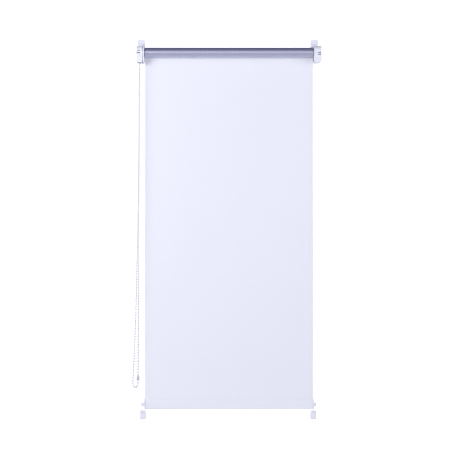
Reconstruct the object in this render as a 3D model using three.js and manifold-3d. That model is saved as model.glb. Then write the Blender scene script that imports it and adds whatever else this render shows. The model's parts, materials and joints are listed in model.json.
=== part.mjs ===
// A clip-on roller blind for a tilt-and-turn window sash, in millimetres.
//
// +X runs along the roller, +Y points at the window pane and +Z up. The origin is the middle of the
// sash's top edge on its room side, so the sash's face is the plane Y = 0 and its top edge is Z = 0.
// Side -1 is the chain side, on the left from inside the room, and side +1 is the idle side.
import * as THREE from 'three';
import { mergeVertices } from 'three/addons/utils/BufferGeometryUtils.js';
import Module from 'manifold-3d';

const wasm = await Module();
wasm.setup();

// ---- driving dimensions ----------------------------------------------------------------------

const GAP = 0.3; // clearance between neighbouring pieces
const SIDES = [-1, 1];

// The sash lip that the hooks and holders grip.
const SASH = { height: 830, lip: 18 };

// The cloth, its roller tube, and the axle's place off the sash.
const CLOTH = { width: 370, solid: 0.5, seamZ: -786, hemZ: -810 };
const AXLE = { y: -20, z: -25.7 };
const TUBE = { radius: 8.5, wall: 0.9, half: 184.8 };
const ROLL = { radius: 10.95, bore: 8.8 };
const CLOTH_Y = AXLE.y + ROLL.radius;

// Ball chain with 4.5 mm beads, 6 mm apart, and the wheel whose pockets take them.
const BEAD = { diameter: 4.5, pitch: 6, cord: 1.2 };
const WHEEL = { pockets: 10, width: 8, rim: 10.7, x: 196.9 };
const PITCH_RADIUS = (WHEEL.pockets * BEAD.pitch) / (2 * Math.PI);
const LEAD_DROP = 8.3; // chain still inside the wheel's groove, below the axle

// End brackets, measured from the axle in Y and Z, and from the middle of the blind in X.
const SHELL = { inner: [190.5, 188.5], outer: 203, wall: 1.5, front: -16.5, back: 17.7, top: 13.8, bottom: -23.5 };
const CHEEK = { inner: 186.3, outer: [189.6, 188], front: -17.6, back: 17.7, top: 16.3, bottom: -25.6 };
const MOUTH = { outer: 200.5, inner: 193.9 };

// Slits of the brackets' latches, left and right, with the left one's upright slit and moulding line.
const LATCH = {
  slitX: [[-200.9, -195], [195.4, 201.2]], slitZ: [[3.6, -1.3], [-1, -5.4]], half: 0.75,
  uprightX: [-197.3, -196.5], uprightFoot: -7.8, lineX: [-199.6, -199.1], lineTop: -11, lineDepth: 0.6,
};

// Fixed shaft of the chain drive, and the hub that turns on it.
const CORE = { radius: 3.7, square: 5.6, end: 164, bore: 1.6 };
const HUB = { radius: 6.4, bore: 5.1, end: 167, sides: 8 };
const PLUG = { radius: 7.3, collar: 8.4, collarOut: 185.9, collarIn: 185.1 };
const WRAP_SPRING = { radius: 4.4, wire: 0.8, pitch: 1.15, turns: 8 };

// Spring-loaded pin of the idle end.
const PIN = { shaft: 3, nose: 2.4, tail: 160, shoulder: 183, tip: 191.6 };
const IDLE = { plugEnd: 144, floor: 146, mouth: 183.4 };
const PIN_SPRING = { radius: 2.5, wire: 0.6, turns: 7 };

// Over-the-sash hooks with their sliding jaws.
const HOOK = { width: 16, leg: 2.4, reach: 25.5, nose: -5, lip: -6.2, tongue: 2, foot: -46 };
const HOOK_X = [-193.5, 187.8];
const JAW = { width: 15, depth: 4, drop: 9, rise: 4.4, neck: 10.6 };
const CLAMP_SCREW = { x: 193, z: -33, head: 2.6, shank: 1.4 };

// Guide strings, drawn tight from the brackets to the bottom holders.
const STRING = { diameter: 1, top: [-191.9, 190], bottom: [-189.8, 187.2], topZ: -43.3, bottomZ: -822 };
const HOLDER = { width: 12.6, top: -813.4, front: -12.5, leg: 2.4, tip: -822, screwZ: -818 };
const HOLDER_X = [-190, 186.2];

// The bar in the hem, and its end caps with the string eyelets.
const BAR = { half: 178, thick: 2.8, height: 20, bottom: -809 };
const CAP = { inner: 185.3, plate: 186.4, depth: 8.4, lug: [193.9, 192], lugTop: -796, lugBottom: -804 };

// The chain's free loop, from the front of the wheel down, round the bend and up to its rear.
const CHAIN_ROUTE = [
  [-196.9, -29.55, -34.3],
  [-197.0, -29.51, -50],
  [-197.4, -29.24, -150],
  [-198.3, -28.91, -270],
  [-199.9, -28.59, -390],
  [-202.2, -28.26, -510],
  [-205.2, -27.96, -620],
  [-208.4, -27.74, -700],
  [-210.1, -27.65, -735],
  [-210.8, -27.6, -752.4],
  [-210.4, -27.02, -755.95],
  [-209.25, -25.37, -758.96],
  [-207.53, -22.91, -760.97],
  [-205.5, -20, -761.67],
  [-203.47, -17.09, -760.97],
  [-201.75, -14.63, -758.96],
  [-200.6, -12.98, -755.95],
  [-200.2, -12.4, -752.4],
  [-200.12, -12.35, -735],
  [-199.96, -12.26, -700],
  [-199.59, -12.04, -620],
  [-199.08, -11.74, -510],
  [-198.53, -11.41, -390],
  [-197.98, -11.09, -270],
  [-197.43, -10.76, -150],
  [-196.97, -10.49, -50],
  [-196.9, -10.45, -34.3],
];
const CONNECTOR = { z: -742, length: 11, radius: 3.5, bore: 2.6, slit: 1.6 };

const FINISHES = {
  abs: new THREE.MeshStandardMaterial({ color: 0xf0f1f6, roughness: 0.38, metalness: 0 }),
  acetal: new THREE.MeshStandardMaterial({ color: 0xe4e6ec, roughness: 0.5, metalness: 0 }),
  aluminium: new THREE.MeshStandardMaterial({ color: 0xb9bcc2, roughness: 0.35, metalness: 1 }),
  steel: new THREE.MeshStandardMaterial({ color: 0xc3c5c9, roughness: 0.3, metalness: 1 }),
  cloth: new THREE.MeshStandardMaterial({ color: 0xeceef8, roughness: 0.85, metalness: 0 }),
  silver: new THREE.MeshStandardMaterial({ color: 0xb1b2d2, roughness: 0.45, metalness: 0.4 }),
  nylon: new THREE.MeshStandardMaterial({ color: 0xf2f3f8, roughness: 0.3, metalness: 0 }),
  tape: new THREE.MeshStandardMaterial({ color: 0xd9d3bd, roughness: 0.6, metalness: 0 }),
};

// ---- shapes ----------------------------------------------------------------------------------

/** Six times the signed volume of the triangles, which tells whether they face out. */
function facing(position, index) {
  const [a, b, c] = [new THREE.Vector3(), new THREE.Vector3(), new THREE.Vector3()];
  let sum = 0;
  for (let i = 0; i < index.length; i += 3) {
    a.fromArray(position, 3 * index[i]);
    b.fromArray(position, 3 * index[i + 1]);
    c.fromArray(position, 3 * index[i + 2]);
    sum += a.dot(b.cross(c));
  }
  return sum;
}

/** A closed three.js geometry as a solid that can be joined and cut. */
function solid(geometry) {
  const bare = geometry.clone();
  bare.deleteAttribute('normal');
  bare.deleteAttribute('uv');
  const merged = mergeVertices(bare, 1e-4);
  const position = merged.attributes.position.array;
  const index = merged.index.array;
  const kept = [];
  for (let i = 0; i < index.length; i += 3) {
    const [a, b, c] = [index[i], index[i + 1], index[i + 2]];
    if (a !== b && b !== c && c !== a) kept.push(a, b, c);
  }
  if (facing(position, kept) < 0) kept.reverse();
  const triVerts = new Uint32Array(kept);
  return new wasm.Manifold(new wasm.Mesh({ numProp: 3, vertProperties: position, triVerts }));
}

/** A named mesh of one finish from a solid. */
function piece(name, body, finish) {
  const { vertProperties, triVerts } = body.getMesh();
  const geometry = new THREE.BufferGeometry();
  geometry.setAttribute('position', new THREE.BufferAttribute(vertProperties, 3));
  geometry.setIndex(new THREE.BufferAttribute(triVerts, 1));
  geometry.computeVertexNormals();
  const mesh = new THREE.Mesh(geometry, FINISHES[finish]);
  mesh.name = name;
  return mesh;
}

/** The children in a group of their own, moved to a point. */
function placed(x, y, z, children) {
  const group = new THREE.Group();
  group.position.set(x, y, z);
  group.add(...children);
  return group;
}

/** A box between two values of each axis, in any order. */
function block([xa, xb], [ya, yb], [za, zb]) {
  const geometry = new THREE.BoxGeometry(Math.abs(xb - xa), Math.abs(yb - ya), Math.abs(zb - za));
  return solid(geometry.translate((xa + xb) / 2, (ya + yb) / 2, (za + zb) / 2));
}

/** A round rod along x, y or z, from a to b on that axis, centred on u and v of the other two. */
function rod(axis, radius, [a, b], [u, v], segments = 20) {
  const geometry = new THREE.CylinderGeometry(radius, radius, Math.abs(b - a), segments);
  const middle = (a + b) / 2;
  if (axis === 'x') geometry.rotateZ(Math.PI / 2).translate(middle, u, v);
  if (axis === 'y') geometry.translate(u, middle, v);
  if (axis === 'z') geometry.rotateX(Math.PI / 2).translate(u, v, middle);
  return solid(geometry);
}

/** A solid of revolution about X from the corners [x, radius] of its half section. */
function turned(corners, segments = 32) {
  const points = corners.map(([x, radius]) => new THREE.Vector2(radius, x));
  if (corners[0][1] > 0) points.push(points[0].clone());
  return solid(new THREE.LatheGeometry(points, segments).rotateZ(-Math.PI / 2));
}

/** A ring about X, from radius inner to radius outer between two values of x. */
function ring(inner, outer, [a, b], segments = 32) {
  return turned([[a, inner], [a, outer], [b, outer], [b, inner]], segments);
}

/** A rectangle with its corners rounded: low-low, high-low, high-high and low-high. */
function rounded([ua, ub], [va, vb], [r0, r1, r2, r3]) {
  const shape = new THREE.Shape();
  shape.moveTo(ua + r0, va);
  shape.lineTo(ub - r1, va);
  if (r1) shape.absarc(ub - r1, va + r1, r1, -Math.PI / 2, 0);
  shape.lineTo(ub, vb - r2);
  if (r2) shape.absarc(ub - r2, vb - r2, r2, 0, Math.PI / 2);
  shape.lineTo(ua + r3, vb);
  if (r3) shape.absarc(ua + r3, vb - r3, r3, Math.PI / 2, Math.PI);
  shape.lineTo(ua, va + r0);
  if (r0) shape.absarc(ua + r0, va + r0, r0, Math.PI, 1.5 * Math.PI);
  return shape;
}

/** A slot with round ends, half long and half wide, that runs along the outline's first axis. */
function slotted(u, v, long, wide) {
  return rounded([u - long, u + long], [v - wide, v + wide], [wide, wide, wide, wide]);
}

/** An outline drawn in the plane across an axis, pulled along that axis from a to b. */
function pulled(axis, outline, [a, b], curveSegments = 8) {
  const depth = Math.abs(b - a);
  const geometry = new THREE.ExtrudeGeometry(outline, { depth, curveSegments, bevelEnabled: false });
  const [x, y, z] = [new THREE.Vector3(1, 0, 0), new THREE.Vector3(0, 1, 0), new THREE.Vector3(0, 0, 1)];
  const turn = new THREE.Matrix4();
  const start = new THREE.Vector3();
  if (axis === 'x') {
    turn.makeBasis(y, z, x);
    start.x = Math.min(a, b);
  }
  if (axis === 'y') {
    turn.makeBasis(x, z, y.clone().negate());
    start.y = Math.max(a, b);
  }
  if (axis === 'z') start.z = Math.min(a, b);
  return solid(geometry.applyMatrix4(turn).translate(start.x, start.y, start.z));
}

/** A wire or cord of round section along a curve. */
function strung(curve, radius, sides, steps) {
  const corners = Array.from({ length: sides }, (_, i) => (2 * Math.PI * i) / sides);
  const points = corners.map((a) => new THREE.Vector2(radius * Math.cos(a), radius * Math.sin(a)));
  const outline = new THREE.Shape(points);
  return solid(new THREE.ExtrudeGeometry(outline, { steps, extrudePath: curve, bevelEnabled: false }));
}

/** A coil about X that starts at x. */
class Coil extends THREE.Curve {
  constructor(x, radius, pitch, turns) {
    super();
    Object.assign(this, { x, radius, pitch, turns });
  }

  getPoint(t, target = new THREE.Vector3()) {
    const angle = 2 * Math.PI * this.turns * t;
    const x = this.x + this.pitch * this.turns * t;
    return target.set(x, this.radius * Math.cos(angle), this.radius * Math.sin(angle));
  }
}

/** A smooth route through points, stepped evenly from point to point, so that bends get more steps. */
class Route extends THREE.CatmullRomCurve3 {
  getPointAt(u, target) {
    return this.getPoint(u, target);
  }

  getTangentAt(u, target) {
    return this.getTangent(u, target);
  }
}

/** The x of a side's piece, from a distance off the middle. */
const across = (side, ...distances) => distances.map((d) => side * d);

// ---- brackets --------------------------------------------------------------------------------

/** The bracket shell's outer or inner skin: its side outline, cut to the rounded front outline. */
function shellSkin(side, inset, inner) {
  const { front, back, top, bottom, outer } = SHELL;
  const radii = [side > 0 ? 12 : 4, 2.5, 2.5, 10].map((r) => r - inset);
  const profile = rounded([front + inset, back - inset], [bottom + inset, top - inset], radii);
  const skin = pulled('x', profile, across(side, inner, outer - inset), 5);
  const low = side > 0 ? 7 : 3.5; // the idle bracket tapers more towards its foot
  const span = across(side, inner - 1, outer - inset).sort((a, b) => a - b);
  const corners = side > 0 ? [0, low, 2.5, 0] : [low, 0, 0, 2.5];
  const trim = corners.map((r) => Math.max(r - inset, 0));
  const face = rounded(span, [bottom + inset, top - inset], trim);
  return skin.intersect(pulled('y', face, [front - 1, back + 1], 4));
}

/** The moulded shell of either bracket, with its latch slits, string hole and screw hole. */
function bracketShell(side) {
  const { front, back, bottom, wall } = SHELL;
  const end = side > 0 ? 1 : 0;
  const [inner, stringX] = [SHELL.inner[end], STRING.top[end]];
  let shell = shellSkin(side, 0, inner).subtract(shellSkin(side, wall, inner - 1));
  const through = [front - 1, front + wall + 1];
  for (const z of LATCH.slitZ[end]) {
    shell = shell.subtract(block(LATCH.slitX[end], through, [z - LATCH.half, z + LATCH.half]));
  }
  const stringHole = rod('z', 0.9, [bottom - 1, bottom + wall + 1], [stringX, CLOTH_Y - AXLE.y], 12);
  const screwAt = [side * CLAMP_SCREW.x, CLAMP_SCREW.z - AXLE.z];
  const screwHole = rod('y', CLAMP_SCREW.shank + 0.35, [back - wall - 1, back + 1], screwAt, 16);
  return shell.subtract(stringHole).subtract(screwHole);
}

/** The chain side's bracket: its mouth lets the chain out below, and a square hole locks the clutch core. */
function chainBracket() {
  const { front, back, bottom, outer, wall } = SHELL;
  const mouthX = across(-1, MOUTH.outer, MOUTH.inner);
  const mouth = block(mouthX, [front + wall, back - 3.7], [bottom - 1, bottom + wall + 3]);
  const slitFoot = LATCH.slitZ[0][1];
  const upright = block(LATCH.uprightX, [front - 1, front + wall + 1], [LATCH.uprightFoot, slitFoot]);
  const line = block(LATCH.lineX, [front - 1, front + LATCH.lineDepth], [bottom - 1, LATCH.lineTop]);
  const half = CORE.square / 2 + GAP;
  const square = block(across(-1, outer + 1, outer - wall - 1), [-half, half], [-half, half]);
  return bracketShell(-1).subtract(mouth).subtract(upright).subtract(line).subtract(square);
}

/** The round cheek between the roll and a shell, with the snap pegs that hold it to the shell. */
function cheek(side, bore) {
  const { front, back, top, bottom, inner } = CHEEK;
  const outer = CHEEK.outer[side > 0 ? 1 : 0];
  const outline = rounded([front, back], [bottom, top], [17, 4, 4, 17]);
  let plate = pulled('x', outline, across(side, inner, outer), 8);
  for (const at of [[-11, 8], [14.5, 10.5], [14.6, -13], [-9, -17]]) {
    plate = plate.add(rod('x', 1.1, across(side, outer - 0.5, outer + 3.4), at, 8));
  }
  return plate.subtract(rod('x', bore, across(side, inner - 1, outer + 1), [0, 0], 32));
}

/** The screw that clamps a hook's tongue to the back of a bracket. */
function clampScrew(side) {
  const at = [side * CLAMP_SCREW.x, CLAMP_SCREW.z - AXLE.z];
  const seat = SHELL.back - SHELL.wall - GAP;
  const head = rod('y', CLAMP_SCREW.head, [seat - 1.5, seat], at, 24);
  const shank = rod('y', CLAMP_SCREW.shank, [seat - 0.5, -AXLE.y - 0.3], at, 16);
  const slot = block([at[0] - 2, at[0] + 2], [seat - 2, seat - 0.9], [at[1] - 0.35, at[1] + 0.35]);
  return head.add(shank).subtract(slot);
}

/** The crimped stop that keeps a guide string from pulling down out of its bracket. */
function stringStop(side) {
  const at = [STRING.top[side > 0 ? 1 : 0], CLOTH_Y - AXLE.y];
  const floor = SHELL.bottom + SHELL.wall + GAP;
  const bead = rod('z', 1.4, [floor, floor + 3.8], at, 16);
  return bead.subtract(rod('z', STRING.diameter / 2 + GAP, [floor - 1, floor + 5], at, 12));
}

// ---- chain drive -----------------------------------------------------------------------------

/** The fixed shaft: a square end locked in the bracket, and a groove for its retaining ring. */
function clutchCore() {
  const shoulder = SHELL.outer - SHELL.wall - GAP;
  const { radius, end, bore } = CORE;
  const shaft = turned([
    [-shoulder, 0], [-shoulder, radius], [-end - 2.6, radius], [-end - 2.6, radius - 0.6],
    [-end - 1.4, radius - 0.6], [-end - 1.4, radius], [-end - 0.5, radius], [-end, radius - 0.5], [-end, 0],
  ], 24);
  const half = CORE.square / 2;
  const key = block(across(-1, SHELL.outer - 0.1, shoulder - 1), [-half, half], [-half, half]);
  return shaft.add(key).subtract(rod('x', bore, across(-1, SHELL.outer + 1, 191), [0, 0], 16));
}

/** The screw through the bracket's outer wall into the core. */
function coreScrew() {
  const head = rod('x', 2.8, across(-1, SHELL.outer + 1.6, SHELL.outer + GAP), [0, 0], 24);
  const shank = rod('x', CORE.bore - GAP, across(-1, SHELL.outer + 0.5, 192), [0, 0], 16);
  const slot = block(across(-1, SHELL.outer + 2, SHELL.outer + 1), [-2.2, 2.2], [-0.4, 0.4]);
  return head.add(shank).subtract(slot);
}

/** The open spring ring in the core's groove, which keeps the hub on. */
function coreRetainer() {
  const band = across(-1, CORE.end + 2.3, CORE.end + 1.7);
  const opening = block(across(-1, CORE.end + 3, CORE.end + 1), [-2, 2], [-7, 0]);
  return ring(CORE.radius - GAP, 6.1, band, 28).subtract(opening);
}

/** The chain wheel: bead pockets and a cord groove round its rim, and the hub that drives the tube. */
function chainWheel() {
  const { pockets, width, rim, x } = WHEEL;
  const [outboard, inboard] = [-x - width / 2, -x + width / 2];
  const groove = PITCH_RADIUS - BEAD.cord / 2 - 0.6;
  let body = turned([
    [outboard, CORE.radius + GAP], [outboard, rim - 0.8], [outboard + 0.8, rim],
    [-x - 1, rim], [-x - 1, groove], [-x + 1, groove], [-x + 1, rim],
    [inboard - 0.8, rim], [inboard, rim - 0.8], [inboard, HUB.radius], [inboard + 3, HUB.radius],
    [inboard + 3, HUB.bore], [inboard + 0.4, HUB.bore], [inboard + 0.4, CORE.radius + GAP],
  ], 30);
  body = body.add(ring(HUB.bore, HUB.radius, [inboard + 2.5, -CLOTH.width / 2 + 0.5], 30));
  body = body.add(ring(HUB.bore, HUB.radius, [-CLOTH.width / 2, -HUB.end], HUB.sides)
    .subtract(rod('x', HUB.bore, across(-1, 190, HUB.end - 1), [0, 0], 32)));
  for (let i = 0; i < pockets; i += 1) {
    const angle = (2 * Math.PI * i) / pockets;
    const [y, z] = [PITCH_RADIUS * Math.cos(angle), PITCH_RADIUS * Math.sin(angle)];
    const pocket = new THREE.SphereGeometry(BEAD.diameter / 2 + GAP, 8, 6).translate(-x, y, z);
    body = body.subtract(solid(pocket));
  }
  return body;
}

/** Long shallow grooves round the outside of a tube plug, where it grips the tube. */
function grooved(plug, span) {
  let cut = plug;
  for (let i = 0; i < 6; i += 1) {
    const angle = (Math.PI * i) / 3;
    const bar = new THREE.BoxGeometry(Math.abs(span[1] - span[0]), 0.9, 3.2);
    bar.translate((span[0] + span[1]) / 2, PLUG.radius, 0).rotateX(angle);
    cut = cut.subtract(solid(bar));
  }
  return cut;
}

/** The plug in the tube that the chain wheel's hub turns. */
function drivePlug() {
  const { radius, collar, collarOut, collarIn } = PLUG;
  const bore = HUB.radius + 0.45;
  const sleeve = turned([
    [-collarOut, 7], [-collarOut, collar], [-collarIn, collar], [-collarIn, radius],
    [-162, radius], [-161, radius - 0.8], [-161, 2], [-162.6, 2], [-162.6, 5.6], [-184, 5.6], [-184, 7],
  ], 24);
  const socket = ring(1, bore, [-CLOTH.width / 2 - 2, -163.2], HUB.sides);
  return grooved(sleeve.subtract(socket), [-collarIn + 2, -160]);
}

/** One of the coil springs that grip the core until the chain is pulled. */
function wrapSpring(x) {
  const { radius, wire, pitch, turns } = WRAP_SPRING;
  return strung(new Coil(x, radius, pitch, turns), wire / 2, 5, 8 * turns);
}

// ---- idle end --------------------------------------------------------------------------------

/** The plug in the tube's idle end, bored for the pin and its spring. */
function idlePlug() {
  const { radius, collar, collarOut, collarIn } = PLUG;
  const bore = PIN.shaft + GAP;
  const body = turned([
    [IDLE.plugEnd, 1.2], [IDLE.plugEnd, radius - 0.8], [IDLE.plugEnd + 1, radius], [collarIn, radius],
    [collarIn, collar], [collarOut, collar], [collarOut, PIN.nose + GAP], [IDLE.mouth, PIN.nose + GAP],
    [IDLE.mouth, bore], [IDLE.floor, bore], [IDLE.floor, 1.2],
  ], 24);
  return grooved(body, [IDLE.plugEnd - 1, collarIn - 2]);
}

/** The pin that carries the idle end: it slides back into the plug to let the roller out. */
function idlePin() {
  const { shaft, nose, tail, shoulder, tip } = PIN;
  return turned([
    [tail, 0], [tail, shaft - 0.5], [tail + 0.5, shaft], [shoulder, shaft], [shoulder, nose],
    [tip - 1, nose], [tip - 0.3, nose - 0.6], [tip, nose - 1.5], [tip, 0],
  ], 24);
}

/** The spring behind the pin. */
function pinSpring() {
  const { radius, wire, turns } = PIN_SPRING;
  const [start, end] = [IDLE.floor + GAP + wire / 2, PIN.tail - GAP - wire / 2];
  return strung(new Coil(start, radius, (end - start) / turns, turns), wire / 2, 5, 8 * turns);
}

/** The bush in the idle bracket's cheek, which the pin turns in. */
function idleBush() {
  const bore = PIN.nose + GAP;
  return turned([
    [186.4, bore], [186.4, 4.5], [188.4, 4.5], [188.4, 6.2], [189.6, 6.2], [189.6, 4.5],
    [193, 4.5], [193, bore],
  ], 20);
}

// ---- hooks and holders -----------------------------------------------------------------------

/** A moulded hook: a leg over the sash, a nose in front, and a tongue down behind the bracket. */
function topHook(side) {
  const { width, leg, reach, nose, lip, tongue, foot } = HOOK;
  const half = width / 2;
  const profile = new THREE.Shape();
  profile.moveTo(-tongue, foot);
  profile.lineTo(-tongue, lip);
  profile.lineTo(nose + 1, lip);
  profile.absarc(nose + 1, lip + 1, 1, 1.5 * Math.PI, Math.PI, true);
  profile.lineTo(nose, leg - 2);
  profile.absarc(nose + 2, leg - 2, 2, Math.PI, Math.PI / 2, true);
  profile.lineTo(reach, leg);
  profile.lineTo(reach, 0);
  profile.lineTo(0, 0);
  profile.lineTo(0, foot);
  let hook = pulled('x', profile, [-half, half]);
  for (const s of SIDES) {
    const shoulder = block(across(s, JAW.neck / 2, half + 1), [SASH.lip - 6.5, reach + 1], [-1, leg + 1]);
    hook = hook.subtract(shoulder);
  }
  for (let y = SASH.lip - 5.5; y < reach - 1; y += 1.2) {
    const notch = new THREE.BoxGeometry(JAW.neck + 1, 0.5, 0.5).rotateX(Math.PI / 4).translate(0, y, leg);
    hook = hook.subtract(solid(notch));
  }
  const slotX = side * CLAMP_SCREW.x - HOOK_X[side > 0 ? 1 : 0];
  const slot = new THREE.Shape(slotted(0, 0, 6, CLAMP_SCREW.shank + 0.35).getPoints(8).map(
    (p) => new THREE.Vector2(slotX - p.y, CLAMP_SCREW.z + p.x),
  ));
  return hook.subtract(pulled('y', slot, [-tongue - 1, 1]));
}

/** The jaw that clicks along the hook's leg and grips the back of the sash lip. */
function hookJaw() {
  const { width, depth, drop, rise, neck } = JAW;
  const profile = new THREE.Shape();
  profile.moveTo(0, -drop + 1);
  profile.lineTo(1, -drop);
  profile.lineTo(depth - 1.5, -drop);
  profile.lineTo(depth, -drop + 3);
  profile.lineTo(depth, rise - 1);
  profile.lineTo(depth - 1, rise);
  profile.lineTo(1, rise);
  profile.lineTo(0, rise - 1);
  const plate = pulled('x', profile, [-width / 2, width / 2]);
  const window = [-neck / 2 - GAP, neck / 2 + GAP];
  return plate.subtract(block(window, [-1, depth + 1], [-GAP, HOOK.leg + GAP]));
}

/** A bottom holder: a block on the sash face with a leg under the sash and a lip up behind it. */
function bottomHolder(side) {
  const { width, top, front, leg, tip, screwZ } = HOLDER;
  const centre = HOLDER_X[side > 0 ? 1 : 0];
  const stringX = STRING.bottom[side > 0 ? 1 : 0] - centre;
  const under = -SASH.height;
  const profile = new THREE.Shape();
  profile.moveTo(front + 3, top);
  profile.lineTo(0, top);
  profile.lineTo(0, under);
  profile.lineTo(SASH.lip, under);
  profile.lineTo(SASH.lip, tip - 1);
  profile.lineTo(SASH.lip + 0.8, tip);
  profile.lineTo(SASH.lip + 2.4, tip);
  profile.lineTo(SASH.lip + 2.4, under - leg + 1);
  profile.absarc(SASH.lip + 1.4, under - leg + 1, 1, 0, -Math.PI / 2, true);
  profile.lineTo(front + 2.5, under - leg);
  profile.absarc(front + 2.5, under - leg + 2.5, 2.5, 1.5 * Math.PI, Math.PI, true);
  profile.lineTo(front, top - 3);
  profile.absarc(front + 3, top - 3, 3, Math.PI, Math.PI / 2, true);
  const clip = pulled('x', profile, [-width / 2, width / 2], 5);
  const bore = rod('z', 0.9, [HOLDER.top + 1, STRING.bottomZ - 1], [stringX, CLOTH_Y], 12);
  const screw = rod('y', 1.6, [front - 1, CLOTH_Y], [stringX, screwZ], 16);
  const recess = rod('y', 2.65, [front - 1, front + 1.4], [stringX, screwZ], 24);
  return clip.subtract(bore).subtract(screw).subtract(recess);
}

/** The screw in a bottom holder that clamps the end of its string. */
function stringScrew() {
  const { front, screwZ } = HOLDER;
  const head = rod('y', 2.5, [front + 0.1, front + 1.1], [0, screwZ], 24);
  const shank = rod('y', 1.3, [front + 1, CLOTH_Y - STRING.diameter / 2 - GAP], [0, screwZ], 16);
  const slot = block([-2.1, 2.1], [front - 1, front + 0.6], [screwZ - 0.4, screwZ + 0.4]);
  return head.add(shank).subtract(slot);
}

/** A guide string from its stop in the bracket, through the bar's eyelet, into its holder. */
function guideString(side) {
  const end = side > 0 ? 1 : 0;
  const curve = new THREE.LineCurve3(
    new THREE.Vector3(STRING.bottom[end], CLOTH_Y, STRING.bottomZ),
    new THREE.Vector3(STRING.top[end], CLOTH_Y, STRING.topZ),
  );
  return strung(curve, STRING.diameter / 2, 8, 4);
}

// ---- cloth, roller and bottom bar ------------------------------------------------------------

/** A part of a ring about X, between two radii and two angles, as an outline across X. */
function sector(inner, outer, from, to) {
  const shape = new THREE.Shape();
  shape.absarc(0, 0, outer, from, to);
  shape.absarc(0, 0, inner, to, from, true);
  return shape;
}

/** The wound cloth, relieved inside over the tape that fixes its end. */
function fabricRoll() {
  const half = CLOTH.width / 2;
  const relief = pulled('x', sector(ROLL.bore - GAP, 9.4, 0.95, 2.2), [-half - 1, half + 1]);
  return ring(ROLL.bore, ROLL.radius, [-half, half], 40).subtract(relief);
}

/** The adhesive tape that holds the cloth to the tube. */
function fixingTape() {
  return pulled('x', sector(ROLL.bore, 9.1, 1, 2.15), [1 - TUBE.half, TUBE.half - 1]);
}

/** The cloth that hangs from the back of the roll down to the pocket's seam. */
function fabricDrop() {
  const half = [CLOTH.width / 2, CLOTH.solid / 2];
  return block([-half[0], half[0]], [-half[1], half[1]], [CLOTH.seamZ + GAP, AXLE.z - 4]);
}

/** The sewn pocket at the foot of the cloth, a flat sleeve round the bar. */
function hemPocket() {
  const { solid: gauge, seamZ, hemZ, width } = CLOTH;
  const depth = BAR.thick / 2 + GAP + gauge;
  const outer = rounded([-depth, depth], [hemZ, seamZ], Array(4).fill(1.8));
  const inside = [[gauge - depth, depth - gauge], [hemZ + gauge, seamZ - gauge]];
  const inner = rounded(...inside, Array(4).fill(1.8 - gauge));
  const sleeve = pulled('x', outer, [-width / 2, width / 2], 2);
  return sleeve.subtract(pulled('x', inner, [-width / 2 - 1, width / 2 + 1], 2));
}

/** The flat bar that weighs the cloth down. */
function bottomBar() {
  const { half, thick, height, bottom } = BAR;
  const r = 0.9;
  const section = rounded([-thick / 2, thick / 2], [bottom, bottom + height], [r, r, r, r]);
  return pulled('x', section, [-half, half], 2);
}

/** An end cap: a spigot in the hem, a plate over its end, and a lug with the string's eyelet. */
function barCap(side) {
  const end = side > 0 ? 1 : 0;
  const { inner, plate, depth, lug, lugTop, lugBottom } = CAP;
  const face = rounded([-depth / 2, depth / 2], [CLOTH.hemZ, CLOTH.seamZ - GAP], [3, 3, 3, 3]);
  const body = pulled('x', face, across(side, inner, plate), 4);
  const spigot = rounded([-1.3, 1.3], [BAR.bottom + 1, BAR.bottom + BAR.height - 1], [0.5, 0.5, 0.5, 0.5]);
  const tongue = pulled('x', spigot, across(side, BAR.half + 0.5, inner + 0.5), 1);
  const span = across(side, inner + 0.5, lug[end]).sort((a, b) => a - b);
  const r = 2.2;
  const ear = rounded(span, [-2.4, 2.4], side > 0 ? [0, r, r, 0] : [r, 0, 0, r]);
  const eyelet = slotted((STRING.top[end] + STRING.bottom[end]) / 2, 0, 2.2, 1.1);
  return body.add(tongue).add(pulled('z', ear, [lugBottom, lugTop], 4))
    .subtract(pulled('z', eyelet, [lugBottom - 1, lugTop + 1], 4));
}

// ---- chain -----------------------------------------------------------------------------------

/** The chain's cord where it lies in the wheel's groove: down, over the wheel and down again. */
function chainWrap() {
  const points = [new THREE.Vector3(0, -PITCH_RADIUS, -LEAD_DROP)];
  for (let i = 0; i <= 16; i += 1) {
    const angle = Math.PI - (Math.PI * i) / 16;
    points.push(new THREE.Vector3(0, PITCH_RADIUS * Math.cos(angle), PITCH_RADIUS * Math.sin(angle)));
  }
  points.push(new THREE.Vector3(0, PITCH_RADIUS, -LEAD_DROP));
  return strung(new Route(points), BEAD.cord / 2, 6, 18);
}

/** The free loop of chain, as a plain cord as thick as its beads. */
function driveChain() {
  const points = CHAIN_ROUTE.map((p) => new THREE.Vector3(...p));
  return strung(new Route(points), BEAD.diameter / 2, 8, 2 * (points.length - 1));
}

/** The clip that joins the chain's ends: a split sleeve that snaps round two beads. */
function chainConnector() {
  const { length, radius, bore, slit } = CONNECTOR;
  const half = length / 2;
  const sleeve = turned([
    [-half, bore], [-half, radius - 0.6], [0.6 - half, radius], [half - 0.6, radius],
    [half, radius - 0.6], [half, bore],
  ], 24);
  return sleeve.subtract(block([-half - 1, half + 1], [-radius - 1, 0], [-slit / 2, slit / 2]));
}

/** The connector's mesh, turned along the rear strand and set on it. */
function placedConnector() {
  const points = CHAIN_ROUTE.map((p) => new THREE.Vector3(...p));
  const [low, high] = [points[17], points[points.length - 1]];
  const along = high.clone().sub(low);
  const centre = low.clone().addScaledVector(along, (CONNECTOR.z - low.z) / along.z);
  const mesh = piece('chain_connector', chainConnector(), 'acetal');
  mesh.position.copy(centre);
  mesh.quaternion.setFromUnitVectors(new THREE.Vector3(1, 0, 0), along.normalize());
  return mesh;
}

// ---- assembly --------------------------------------------------------------------------------

const name = (stem, side) => `${stem}_${side > 0 ? 'right' : 'left'}`;

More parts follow.
